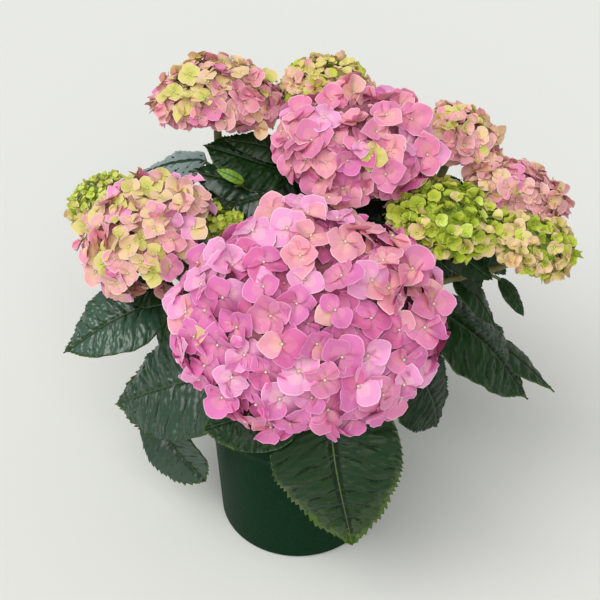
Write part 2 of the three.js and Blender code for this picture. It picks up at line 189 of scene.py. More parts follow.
# How fast a blade narrows to its tip; these leaves also have more rows for each tooth.
LEAF_FALL = {"leaf_front": 0.82, "leaf_under_left": 0.5, "leaf_low_left": 0.72,
             "leaf_right": 0.92, "leaf_right_back": 1, "leaf_left": 0.9}
# How deep the teeth of a leaf's edge are, as a share of its half width.
BLADE_BITE = 0.08
LEAF_BITE = {"leaf_left": 0.025, "leaf_low_left": 0.05, "leaf_right": 0.03,
             "leaf_right_back": 0.03}

# Small leaves between the heads: base and tip of the blade, way the upper side faces, width and
# tone; the darker tones are painted shade between the heads.
SMALL_LEAVES = (
    ((-46, 84, 311), (-70, 88, 322), (0, -0.7, 1), 10, "young_leaf"),
    ((-30, 98, 272), (-76, 98, 298), (-0.1, -0.5, 1), 36, "leaf_shade"),
    ((-28, 102, 284), (-96, 106, 308), (-0.1, -0.5, 1), 34, "leaf_gloss"),
    ((-30, 120, 266), (-88, 118, 288), (-0.1, -0.6, 1), 40, "leaf_shade"),
    ((30, 100, 276), (112, 84, 288), (0, -0.7, 1), 44, "leaf_deep_shade"),
    ((98, 62, 266), (62, 60, 292), (0, -0.7, 1), 26, "leaf_deep_shade"),
    ((116, 34, 284), (166, 22, 254), (0.1, -0.7, 0.9), 28, "leaf_shade"),
    ((30, 98, 276), (-40, 96, 290), (0, -0.7, 1), 42, "leaf_deep_shade"),
    ((0, 118, 312), (-64, 122, 330), (0, -0.5, 1), 26, "leaf"),
    ((-20, 92, 292), (-63, 88, 280), (0.1, -0.6, 1), 34, "leaf_gloss"),
    ((134, 62, 268), (160, 44, 216), (0.2, -0.7, 0.8), 26, "leaf_shade"),
    ((152, 70, 264), (184, 60, 228), (0.3, -0.6, 0.9), 30, "leaf"),
    ((116, 50, 278), (128, 36, 243), (-0.2, -0.8, 0.7), 32, "leaf_shade"),
    ((140, 95, 282), (132, 103, 306), (0.2, -0.8, 0.6), 20, "leaf_shade"),
    ((-94, 40, 232), (-122, 22, 172), (-0.5, -0.5, 0.8), 46, "leaf"),
)
FOLIAGE = ("foliage_front", "foliage_left", "foliage_right", "foliage_back",
           "foliage_upper_left", "foliage_upper_right")
SPRAY_LEAVES = 15  # leaves in each clump of inner foliage


def unit(v):
    v = np.asarray(v, float)
    return v / max(np.linalg.norm(v), 1e-12)


def unit_rows(rows, least=0.0):
    return rows / (np.linalg.norm(rows, axis=1, keepdims=True) + least)


def round_turn(steps):
    """Angles evenly spaced once round, without the last."""
    return np.linspace(0, 2 * math.pi, steps, endpoint=False)


def new_object(name, data):
    made = bpy.data.objects.new(name, data)
    bpy.context.scene.collection.objects.link(made)
    return made


def rgb(r, g, b):
    """A colour given as 0 to 255 screen values, for a shader socket."""
    c = np.array([r, g, b]) / 255
    lin = np.where(c <= 0.04045, c / 12.92, ((c + 0.055) / 1.055) ** 2.4)
    return (*lin.tolist(), 1.0)


# ---- materials ------------------------------------------------------------------------------

def new_material(name, colour, roughness, specular=0.5):
    mat = bpy.data.materials.new(name)
    mat.use_nodes = True
    shader = mat.node_tree.nodes["Principled BSDF"]
    set_inputs(shader, Base_Color=rgb(*colour), Roughness=roughness, Specular_IOR_Level=specular)
    return mat


def set_inputs(node, **values):
    for name, value in values.items():
        node.inputs[name.replace("_", " ")].default_value = value


def add_noise(mat, place, scale, detail):
    noise = mat.node_tree.nodes.new("ShaderNodeTexNoise")
    set_inputs(noise, Scale=scale, Detail=detail)
    mat.node_tree.links.new(place, noise.inputs["Vector"])
    return noise.outputs["Fac"]


def add_relief(mat, height, strength, distance, sunken=False):
    """Bump relief from a texture's output."""
    tree = mat.node_tree
    bump = tree.nodes.new("ShaderNodeBump")
    bump.invert = sunken
    set_inputs(bump, Strength=strength, Distance=distance)
    tree.links.new(height, bump.inputs["Height"])
    tree.links.new(bump.outputs["Normal"], tree.nodes["Principled BSDF"].inputs["Normal"])


def add_bump(mat, scale, strength, distance):
    """Fine relief from noise in the object's own coordinates; returns the noise."""
    coords = mat.node_tree.nodes.new("ShaderNodeTexCoord")
    noise = add_noise(mat, coords.outputs["Object"], scale, 3)
    add_relief(mat, noise, strength, distance)
    return noise


FLAT_MAP = "flat"  # a leaf or sepal laid flat: millimetres along it and out along its veins
QUILT_CELL = (6.4, 15)  # millimetres of a swollen cell along a leaf and out along a side vein
VEIN_PITCH = (0.12, 1.1)  # waves of a sepal's relief for each millimetre along it and across


def flat_place(mat, along, across):
    """Places on the flat map, in waves for each millimetre."""
    tree = mat.node_tree
    place = tree.nodes.new("ShaderNodeUVMap")
    place.uv_map = FLAT_MAP
    stretch = tree.nodes.new("ShaderNodeMapping")
    set_inputs(stretch, Scale=(along, across, 1))
    tree.links.new(place.outputs["UV"], stretch.inputs["Vector"])
    return stretch.outputs["Vector"]


def add_quilting(mat):
    """Swollen cells between the net of veins, drawn out along the side veins of a leaf."""
    cells = mat.node_tree.nodes.new("ShaderNodeTexVoronoi")
    cells.voronoi_dimensions = "2D"
    cells.feature = "SMOOTH_F1"
    set_inputs(cells, Scale=1, Smoothness=0.4)
    place = flat_place(mat, 1 / QUILT_CELL[0], 1 / QUILT_CELL[1])
    mat.node_tree.links.new(place, cells.inputs["Vector"])
    add_relief(mat, cells.outputs["Distance"], 0.8, 0.0018, sunken=True)


def add_petal_veins(mat):
    """Soft ridges that run out along a sepal."""
    add_relief(mat, add_noise(mat, flat_place(mat, *VEIN_PITCH), 1, 2), 0.5, 0.0007)


def add_mottle(mat, noise, dark, light):
    """Colour variation between two tones, driven by noise."""
    tree = mat.node_tree
    ramp = tree.nodes.new("ShaderNodeValToRGB")
    for element, position, tone in zip(ramp.color_ramp.elements, (0.3, 0.7), (dark, light)):
        element.position = position
        element.color = rgb(*tone)
    tree.links.new(noise, ramp.inputs["Fac"])
    tree.links.new(ramp.outputs["Color"], tree.nodes["Principled BSDF"].inputs["Base Color"])


# Palettes of a floret: throat, inner part, outer part and rim of its sepals, as screen colours.
# The pale rim is partly the sepal's own paler edge and partly painted light along the edge.
PALETTES = {
    "pink": ((196, 135, 150), (232, 141, 184), (229, 125, 187), (240, 170, 210)),
    "warm": ((199, 143, 135), (233, 153, 179), (231, 138, 182), (238, 177, 200)),
    "deep": ((185, 114, 126), (224, 122, 164), (222, 109, 168), (236, 154, 194)),
    "soft": ((210, 165, 162), (247, 182, 210), (245, 164, 212), (251, 204, 229)),
    "salmon": ((207, 169, 141), (245, 178, 179), (243, 164, 184), (252, 205, 209)),
    "peach": ((198, 178, 130), (240, 195, 170), (242, 183, 181), (247, 211, 204)),
    "cream": ((204, 195, 109), (235, 211, 147), (239, 205, 167), (244, 218, 192)),
    "green_cream": ((171, 186, 74), (211, 211, 106), (226, 215, 131), (238, 222, 169)),
    "dusty": ((188, 164, 118), (228, 176, 158), (230, 168, 172), (238, 198, 194)),
    "rose": ((202, 148, 143), (240, 158, 177), (239, 142, 182), (246, 191, 208)),
    "lime": ((110, 133, 26), (185, 197, 58), (200, 212, 74), (219, 227, 122)),
    "lime_deep": ((85, 109, 20), (158, 178, 43), (176, 195, 59), (202, 215, 105)),
    "lime_blush": ((158, 168, 74), (222, 214, 122), (236, 214, 152), (246, 220, 190)),
    "young": ((150, 178, 56), (204, 222, 88), (216, 231, 112), (230, 240, 152)),
}
PETAL_ZONES = ("throat", "inner", "outer", "rim")


def petal_materials():
    made = {}
    for name, tones in PALETTES.items():
        for zone, tone in zip(PETAL_ZONES, tones):
            made[name, zone] = new_material(f"petal_{name}_{zone}", tone, 0.55, 0.3)
            add_petal_veins(made[name, zone])
    # the heart colours are deeper than the sepals: painted shade deep inside a head
    for key, tone in (("shaded_heart", (168, 98, 116)), ("lime_shaded_heart", (126, 150, 52))):
        made[key] = new_material(f"floret_{key}", tone, 0.8)
        add_bump(made[key], 300, 1.0, 0.003)
    made["bead"] = new_material("floret_bead", (246, 236, 222), 0.5)
    return made


# ---- joined meshes --------------------------------------------------------------------------

class Heap:
    """Gathers the faces of many small shapes and joins them into one mesh."""

    def __init__(self, mapped=False):
        self.points, self.quads, self.slots, self.maps, self.count = [], [], [], [], 0
        self.materials, self.mapped = [], mapped

    def slot_of(self, material):
        if material not in self.materials:
            self.materials.append(material)
        return self.materials.index(material)

    def add(self, points, quads, slots, flat=None):
        self.points.append(points)
        self.maps.append(np.zeros((len(points), 2)) if flat is None else flat)
        self.quads.append(quads + self.count)
        self.slots.append(np.broadcast_to(slots, (len(quads),)))
        self.count += len(points)

    def build(self, name, node_names, slot_name):
        points = np.concatenate(self.points).astype(np.float32) * MM
        quads = np.concatenate(self.quads)
        mesh = bpy.data.meshes.new(name)
        mesh.vertices.add(len(points))
        mesh.vertices.foreach_set("co", points.ravel())
        mesh.loops.add(quads.size)
        mesh.loops.foreach_set("vertex_index", quads.ravel().astype(np.int32))
        mesh.polygons.add(len(quads))
        mesh.polygons.foreach_set("loop_start", np.arange(0, quads.size, 4, dtype=np.int32))
        mesh.polygons.foreach_set("material_index", np.concatenate(self.slots).astype(np.int32))
        mesh.polygons.foreach_set("use_smooth", np.ones(len(quads), bool))
        mesh.update(calc_edges=True)
        if self.mapped:
            flat = np.concatenate(self.maps).astype(np.float32)[quads.ravel()]
            mesh.uv_layers.new(name=FLAT_MAP).uv.foreach_set("vector", flat.ravel())
        for material in self.materials:
            mesh.materials.append(material)
        piece = new_object(name, mesh)
        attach(piece, BODY)
        if node_names:
            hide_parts(*node_names)
        return piece


def grid_quads(rows, columns, closed=False):
    """Corner numbers of the quads of a grid of points, row by row."""
    i, j = np.meshgrid(np.arange(rows - 1), np.arange(columns if closed else columns - 1),
                       indexing="ij")
    j2 = (j + 1) % columns
    return np.stack([i * columns + j, i * columns + j2, (i + 1) * columns + j2,
                     (i + 1) * columns + j], -1).reshape(-1, 4)


def tube(heap, path, radii, slot, sides=6, lumps=None):
    """A round tube along a path of points, with a radius at each."""
    path = np.asarray(path, float)
    along = unit_rows(np.gradient(path, axis=0))
    aside = unit(np.cross(along[0], (0.31, 0.87, 0.2)))
    rings = []
    turn = round_turn(sides)
    for k, (point, ahead) in enumerate(zip(path, along)):
        aside = unit(aside - aside @ ahead * ahead)
        third = np.cross(ahead, aside)
        radius = radii[k] * (np.ones(sides) if lumps is None else lumps(k, turn))
        rings.append(point + (np.cos(turn) * radius)[:, None] * aside
                     + (np.sin(turn) * radius)[:, None] * third)
    heap.add(np.concatenate(rings), grid_quads(len(path), sides, closed=True), slot)


# ---- limbs ----------------------------------------------------------------------------------

def bezier(p, steps=60):
    t = np.linspace(0, 1, steps)[:, None]
    return ((1 - t) ** 3 * p[0] + 3 * (1 - t) ** 2 * t * p[1] + 3 * (1 - t) * t ** 2 * p[2]
            + t ** 3 * p[3])


def even(path, count):
    """The same path with its points evenly spaced along it."""
    far = np.concatenate([[0], np.cumsum(np.linalg.norm(np.diff(path, axis=0), axis=1))])
    want = np.linspace(0, far[-1], count)
    return np.stack([np.interp(want, far, path[:, k]) for k in range(3)], 1)


def limb_path(start, leaving, head):
    at, faces = np.array(head["at"], float), unit(head["faces"])
    reach = np.linalg.norm(at - start)
    return even(bezier([start, start + leaving * reach * 0.4, at - faces * reach * 0.35,
                        at - faces * head["under"] * 0.3]), 60)


def at_part(path, part):
    k = part * (len(path) - 1)
    low = min(int(k), len(path) - 2)
    point = path[low] + (path[low + 1] - path[low]) * (k - low)
    return point, unit(path[low + 1] - path[low])


def limb_paths():
    paths = {}
    top = SOIL_LEVEL + STUMP_HEIGHT
    for name, ((x, y), head) in CANES.items():
        start = np.array([x, y, top - CANE_SINK], float)
        paths[name] = limb_path(start, unit((x * 0.05, y * 0.05, 1)), HEADS[head])
    for name, (cane, part, head) in SHOOTS.items():
        start, leaving = at_part(paths[cane], part)
        paths[name] = limb_path(start, leaving, HEADS[head])
    return paths


limbs = limb_paths()
limb_points = np.concatenate(list(limbs.values()))


def nearest(points, place):
    return points[np.argmin(np.linalg.norm(points - place, axis=1))]


def tree_of(name):
    """The solid of a CAD node, to measure against."""
    mesh = nodes[name].data
    points = [tuple(v.co / MM) for v in mesh.vertices]
    return BVHTree.FromPolygons(points, [tuple(p.vertices) for p in mesh.polygons])


# ---- florets --------------------------------------------------------------------------------

FAN = math.radians(82)  # a sepal's sides turn this far from its own line
VEIN_SPREAD = 7  # width in millimetres that a sepal's veins have for each radian
MAP_SHIFTS = 907  # the veins of so many sepals differ
GRIDS = {  # distances from the claw, as parts of the reach, and how many lines fan out
    "fine": (np.array([0.02, 0.15, 0.34, 0.56, 0.77, 0.955, 1]), 13),
    "plain": (np.array([0.03, 0.2, 0.56, 0.94, 1]), 9),
    "small": (np.array([0.04, 0.3, 0.72, 1]), 7),
}
ZONE_ENDS = (0.12, 0.5, 0.94)  # where the throat, the inner and the outer part end


def sepal_grid(kind):
    rings, lines = GRIDS[kind]
    quads = grid_quads(len(rings), lines)
    ring = np.repeat(np.arange(len(rings) - 1), lines - 1)
    middle = (rings[:-1] + rings[1:])[ring] / 2
    return quads, np.searchsorted(ZONE_ENDS, middle)


SEPALS = {kind: sepal_grid(kind) for kind in GRIDS}
COARSER = {"fine": "plain", "plain": "small", "small": "small"}


def sepal_points(rng, length, openness, point, kind, ragged):
    """One sepal from its claw at the origin along +X, its upper side towards +Z."""
    rings, lines = GRIDS[kind]
    turn = np.linspace(-1, 1, lines) * FAN
    lean = rng.uniform(-0.14, 0.14)
    off = np.clip(turn - lean, -FAN, FAN)
    kite = 1 / (np.cos(off) + max(0.1, point + rng.normal(0, 0.12)) * np.abs(np.sin(off)))
    fan = 1.04 * np.cos(off) ** 0.9
    reach = length * (kite ** -6 + fan ** -6) ** (-1 / 6)  # the nearer of the two outlines
    if ragged:
        reach = reach * (1 + ragged * rng.uniform(-1, 1, lines))
    far = rings[:, None] * reach / length
    x, y = far * np.cos(turn), far * np.sin(turn)
    cup = (1 - openness) * (0.42 * y ** 2 + 0.3 * x ** 2)
    crown = rng.uniform(-0.42, 0.06) * x ** 2 + rng.uniform(-0.4, 0.3) * y ** 2
    crown += rng.uniform(-0.14, 0.34) * np.abs(y)
    roll = (rng.uniform(-0.35, 0.35) * np.clip(rings[:, None] - 0.5, 0, 1) ** 1.5
            * np.abs(turn) ** 0.5)
    pleat = 0.016 * rings[:, None] * np.where(np.arange(lines) % 2, 1, -1)
    wave = 0.07 * np.sin(2.6 * turn + rng.uniform(0, 6.3)) * rings[:, None] ** 2
    crease = -0.06 * np.exp(-(y / 0.08) ** 2) * np.sin(np.pi * np.clip(x, 0, 1))
    z = cup + crown + roll + pleat + wave + crease
    flat = np.stack([x * length, np.broadcast_to(turn * VEIN_SPREAD, x.shape)], -1)
    return np.stack([x, y, z], -1).reshape(-1, 3) * length, flat.reshape(-1, 2)


def frame_of(axis, spin):
    """Three columns that turn +Z into axis, after a spin about it."""
    axis = unit(axis)
    side = unit(np.cross(axis, (0.2, 0.9, 0.35) if abs(axis[2]) > 0.8 else (0, 0, 1)))
    third = np.cross(axis, side)
    x = side * math.cos(spin) + third * math.sin(spin)
    return np.stack([x, np.cross(axis, x), axis], 1)


def turned(points, angle, axis):
    """Points turned about X (axis 0), Y (axis 1) or Z (axis 2)."""
    c, s = math.cos(angle), math.sin(angle)
    if axis == 0:
        return points @ np.array([[1, 0, 0], [0, c, s], [0, -s, c]])
    if axis == 1:
        return points @ np.array([[c, 0, s], [0, 1, 0], [-s, 0, c]])
    return points @ np.array([[c, s, 0], [-s, c, 0], [0, 0, 1]])


CUP_TILT = math.radians(62)  # how far the sepals of a closed floret stand up
SEPAL_STEP = 0.05  # every other sepal lies this much of its length higher
BEAD_LIFT, BEAD_SIZE = 0.06, 0.032  # as shares of the floret's size
BEAD_LEAST = 0.4  # millimetres of a bead's radius that don't depend on the floret


def bead(heap, centre, turn, radius, slot):
    """The small closed bud in a floret's middle."""
    polar = np.array([0.05, 0.9, 1.7, 2.6])
    p, a = np.meshgrid(polar, round_turn(6), indexing="ij")
    ball = np.stack([np.sin(p) * np.cos(a), np.sin(p) * np.sin(a), np.cos(p)], -1).reshape(-1, 3)
    heap.add(centre + (ball * radius) @ turn.T, grid_quads(len(polar), 6, True), slot)


def floret(heap, rng, place, axis, length, openness, point, grid, palette, bead_slot, ragged):
    turn = frame_of(axis, rng.uniform(0, 2 * math.pi))
    quads, zones = SEPALS[grid]
    openness = min(1.0, max(0.05, openness + rng.normal(0, 0.1)))
    for k in range(4):
        size = length * rng.uniform(0.8, 1.12)
        points, flat = sepal_points(rng, size, openness, point, grid, ragged)
        tilt = CUP_TILT * (1 - openness) + rng.normal(0, 0.13)
        points = turned(turned(points, rng.normal(0, 0.17), 0), tilt, 1)
        points[:, 2] += SEPAL_STEP * length * (k % 2)
        points = turned(points, k * math.pi / 2 + rng.uniform(-0.13, 0.13), 2)
        shift = heap.count % MAP_SHIFTS
        heap.add(place + points @ turn.T, quads, palette[k][zones], flat + shift)
    centre = place + turn[:, 2] * length * BEAD_LIFT
    bead(heap, centre, turn, length * BEAD_SIZE + BEAD_LEAST, bead_slot)


# Palettes of each colour rule, their shares on a head's upper part, and on its lower part.
TINTS = {
    "pink": ("pink warm deep soft salmon peach", (34, 24, 10, 18, 12, 2), (42, 18, 12, 22, 5, 1)),
    "rose": ("rose pink warm deep salmon soft", (26, 8, 22, 4, 30, 10), (30, 16, 18, 10, 18, 8)),
    "blush": ("salmon peach cream green_cream warm dusty", (24, 24, 22, 22, 4, 4),
              (38, 14, 4, 2, 20, 22)),
    "cream": ("green_cream cream lime_blush lime peach", (34, 20, 20, 16, 10),
              (24, 24, 26, 12, 14)),
    "peach": ("peach green_cream cream dusty salmon", (24, 34, 20, 12, 10), (24, 16, 12, 22, 26)),
    "dusty": ("dusty salmon peach cream warm green_cream", (34, 14, 22, 16, 6, 8),
              (40, 16, 20, 10, 8, 6)),
    "lime": ("lime lime_deep young lime_blush", (52, 26, 18, 4), (36, 14, 6, 44)),
    "lime_cream": ("lime lime_deep lime_blush cream", (40, 20, 28, 12), (24, 10, 42, 24)),
    "cream_pink": ("green_cream cream peach salmon soft warm", (24, 24, 26, 14, 8, 4),
                   (2, 10, 26, 26, 22, 14)),
    "young": ("young lime cream lime_blush", (64, 22, 8, 6), (30, 20, 26, 24)),
    "bud": ("young lime", (80, 20), (70, 30)),
}
# Florets further in are of the deeper kind: painted shade deep in the head.
INNER_SHADE_TINTS = {"pink": "deep", "warm": "deep", "soft": "pink", "rose": "deep", "lime": "lime_deep",
          "lime_blush": "lime_deep", "young": "lime_deep", "green_cream": "lime_blush"}
ACCENT_SHARE = 0.82  # of the florets where a head has another colour
ONE_TINT_SHARE = 0.75  # of the sepals that have their floret's own tint


def pick_tint(head, rng, out, height):
    for aim, near, tint in head.get("accents", ()):
        if np.linalg.norm(out - unit(aim)) < near and rng.uniform() < ACCENT_SHARE:
            return rng.choice(tint.split())
    names, high, low = TINTS[head["tint"]]
    share = min(1.0, max(0.0, (height - 0.1) / 0.6))
    parts = np.array(high) * share + np.array(low) * (1 - share)
    return names.split()[int(np.searchsorted(np.cumsum(parts), rng.uniform() * parts.sum()))]


def floret_palette(head, rng, out, height, inner, palettes):
    """Material slots of each of the four sepals; a floret further in takes the deeper palette of
    painted shade.
    """
    tint = pick_tint(head, rng, out, height)
    sepals = [tint if rng.uniform() < ONE_TINT_SHARE else pick_tint(head, rng, out, height)
              for _ in range(4)]
    return [palettes[INNER_SHADE_TINTS.get(one, one) if inner else one] for one in sepals]


TRIES = 3200  # directions tried for each layer of florets


def scatter(solid, at, turn, spacing, lowest, rng):
    """Places all over a solid's outside, about a spacing apart, above a lowest height."""
    found = []
    directions = unit_rows(rng.normal(0, 1, (TRIES, 3)))
    for d in directions[directions[:, 2] > lowest]:
        out = turn @ d
        hit, normal, _, _ = solid.ray_cast(Vector(at), Vector(out))
        if hit is not None:
            found.append((np.array(hit), np.array(normal), out, d[2]))
    hits = np.array([f[0] for f in found])
    away = np.linalg.norm(hits - hits[0], axis=1)
    chosen = [0]
    while away.max() > spacing:
        chosen.append(int(away.argmax()))
        away = np.minimum(away, np.linalg.norm(hits - hits[chosen[-1]], axis=1))
    return [found[k] for k in chosen]


HEART_SIZE = 0.72  # of the head's own size, above; the underside draws in round the stalks
BARE_HEART = 0.5  # of that, where the head is bare
HEART_RINGS, HEART_COLUMNS = 12, 24


def is_bare(out, places):
    return any(np.linalg.norm(out - unit(aim)) < near for aim, near in places)


def add_heart(heap, solid, at, turn, bare, material):
    """The dense small flowers deep in a head, that close the gaps between the open florets, in a
    deeper colour that is painted shade.
    """
    points = []
    for p in np.linspace(0.02, 3.1, HEART_RINGS):
        for a in round_turn(HEART_COLUMNS):
            out = turn @ (math.sin(p) * math.cos(a), math.sin(p) * math.sin(a), math.cos(p))
            hit, _, _, _ = solid.ray_cast(Vector(at), Vector(out))
            share = HEART_SIZE * min(1, 1 + math.cos(p))
            if is_bare(out, bare):
                share = share * BARE_HEART
            far = 1 if hit is None else np.linalg.norm(np.array(hit) - at)
            points.append(at + out * far * share * (1 + 0.05 * math.sin(7 * a + 5 * p)))
    heap.add(np.array(points), grid_quads(HEART_RINGS, HEART_COLUMNS, True),
             heap.slot_of(material))


LOWEST = -0.34  # height of the lowest direction that has florets
# A head's inner layer against its outer one: share of the spacing, of the looseness and of the
# size, further inset, and how flat its sepals lie at least.
INNER_SPACING, INNER_LOOSE, INNER_SIZE, INNER_INSET, INNER_OPEN = 0.95, 0.5, 0.9, 0.4, 0.8
RAGGED_BELOW = 0.25  # the sepals of a fine head are more ragged under this height
RAGGED, MORE_RAGGED = 0.012, 0.035  # share of its length that a sepal's edge wanders
STANCE = (0.6, 0.2, 0.2)  # how much a floret faces off the solid, outwards and with its head


def set_floret(heap, rng, head, spot, inner, palettes, bead_slot):
    """Puts one floret on a head; returns where it stands and its axis."""
    hit, normal, out, height = spot
    length = head["sepal"]
    loose = head["loose"] * (INNER_LOOSE if inner else 1)
    inset = head["inset"] + (INNER_INSET if inner else 0)
    stance = unit(normal * STANCE[0] + out * STANCE[1] + unit(head["faces"]) * STANCE[2])
    axis = unit(stance + rng.normal(0, loose, 3))
    opened = 0.78 + 0.22 * min(1.0, 1.4 - 1.2 * height)  # the middle opens last
    size = length * opened * rng.uniform(0.88, 1.12) * (INNER_SIZE if inner else 1)
    place = hit - axis * length * inset - normal * length * rng.uniform(0, 0.26)
    palette = floret_palette(head, rng, out, height, inner, palettes)
    ragged = MORE_RAGGED if head["grid"] == "fine" and height < RAGGED_BELOW else RAGGED
    openness = max(head["open"], INNER_OPEN) if inner else head["open"]
    grid = COARSER[head["grid"]] if inner else head["grid"]
    floret(heap, rng, place, axis, size, openness, head["point"], grid, palette, bead_slot, ragged)
    return place, axis


PEDICEL_SHARE = 0.6  # of the outer florets that have a stalk of their own
PEDICEL_RADII = (1.1, 0.5)


def add_pedicel(stalks, head, place, axis, slot):
    """The thin stalk of a floret, from the fork of the head's stalks."""
    faces = unit(head["faces"])
    fork = np.array(head["at"], float) - faces * head["under"] * 0.45
    bend = fork + (place - fork) * 0.5 + faces * head["sepal"] * 0.2
    path = even(bezier([fork, fork + faces * 4, bend, place - axis * 0.4], 12), 6)
    tube(stalks, path, np.linspace(*PEDICEL_RADII, 6), slot, sides=4)


def blossom_slot(tint):
    if tint in ("pink", "rose"):
        return "blossom_pink"
    if tint in ("blush", "peach", "dusty", "cream_pink"):
        return "blossom_blush"
    return "blossom_lime"


def make_head(name, petals, green, seed):
    """All florets of a head in one piece; returns the stalks of its florets."""
    head = HEADS[name]
    solid = tree_of(name)
    at = np.array(head["at"], float)
    turn = frame_of(unit(head["faces"]), 0)
    heap, stalks = Heap(mapped=True), Heap()
    green_slot = stalks.slot_of(green)
    bead_slot = heap.slot_of(petals["bead"])
    palettes = {tint: np.array([heap.slot_of(petals[tint, zone]) for zone in PETAL_ZONES])
                for tint in PALETTES}
    for inner in (0, 1):
        spacing = head["spacing"] * (INNER_SPACING if inner else 1)
        spots = scatter(solid, at, turn, spacing, head.get("lowest", LOWEST),
                        np.random.default_rng([seed, inner]))
        bare = head.get("bare", ()) + (() if inner else head.get("thin", ()))
        for number, spot in enumerate(spots):
            if is_bare(spot[2], bare):
                continue
            rng = np.random.default_rng([seed, inner, number])
            place, axis = set_floret(heap, rng, head, spot, inner, palettes, bead_slot)
            if not inner and rng.uniform() < PEDICEL_SHARE:
                add_pedicel(stalks, head, place, axis, green_slot)
    slot = blossom_slot(head["tint"])
    shaded_heart = petals["lime_shaded_heart" if slot == "blossom_lime" else "shaded_heart"]
    add_heart(heap, solid, at, turn, head.get("bare", ()), shaded_heart)
    heap.build(f"{name}_florets", [name], slot)
    return stalks


# ---- leaves ---------------------------------------------------------------------------------

BLADE_RISE, BLADE_FALL = 0.55, 0.8
TIP_FROM = 0.83  # share of the blade where its drawn-out tip begins
RIPPLE = 6.5  # millimetres between the small ridges of a blade
CELLS = 96  # the pattern of quilted cells repeats after this many
CELL_STRIDE = 1009  # gives every cell a number of its own
HOLLOW_SHADE = 0.34  # relief under this share is drawn in the darker green, painted shade in the hollows
BLADE_STEPS = 120  # points along the midrib
LEAF_THICKNESS = 0.6
VEIN_HALF = 0.25  # how far the sides of a vein sink into the blade
SIDE_VEIN_LIFT, MIDRIB_LIFT = 0.22, 0.4
MIX = 2654435761  # multiplier that turns a cell's number into chance


def blade_outline(s, fall=BLADE_FALL):
    """Width of a blade along its midrib, as a share of the widest, with a drawn-out tip."""
    widest = BLADE_RISE / (BLADE_RISE + fall)
    most = widest ** BLADE_RISE * (1 - widest) ** fall
    s = np.clip(s, 0, 1)
    drawn = 1 - 0.9 * np.clip((s - TIP_FROM) / (1 - TIP_FROM), 0, 1) ** 2
    return s ** BLADE_RISE * (1 - s) ** fall * (1 - 0.45 * s ** 8) * drawn / most


def catmull(points, count):
    """A smooth curve through points, evenly spaced."""
    p = [np.asarray(q, float) for q in points]
    p = [2 * p[0] - p[1], *p, 2 * p[-1] - p[-2]]
    out = []
    for a, b, c, d in zip(p, p[1:], p[2:], p[3:]):
        t = np.linspace(0, 1, 16, endpoint=False)[:, None]
        k1, k2 = np.linalg.norm(c - b) ** 0.5, max(np.linalg.norm(b - a) ** 0.5, 1e-6)
        k3 = max(np.linalg.norm(d - c) ** 0.5, 1e-6)
        m1 = (c - b) + k1 * ((b - a) / k2 - (c - a) / (k1 + k2))
        m2 = (c - b) + k1 * ((d - c) / k3 - (d - b) / (k1 + k3))
        out.append((2 * t ** 3 - 3 * t ** 2 + 1) * b + (t ** 3 - 2 * t ** 2 + t) * m1
                   + (-2 * t ** 3 + 3 * t ** 2) * c + (t ** 3 - t ** 2) * m2)
    return even(np.concatenate([*out, p[-2][None]]), count)


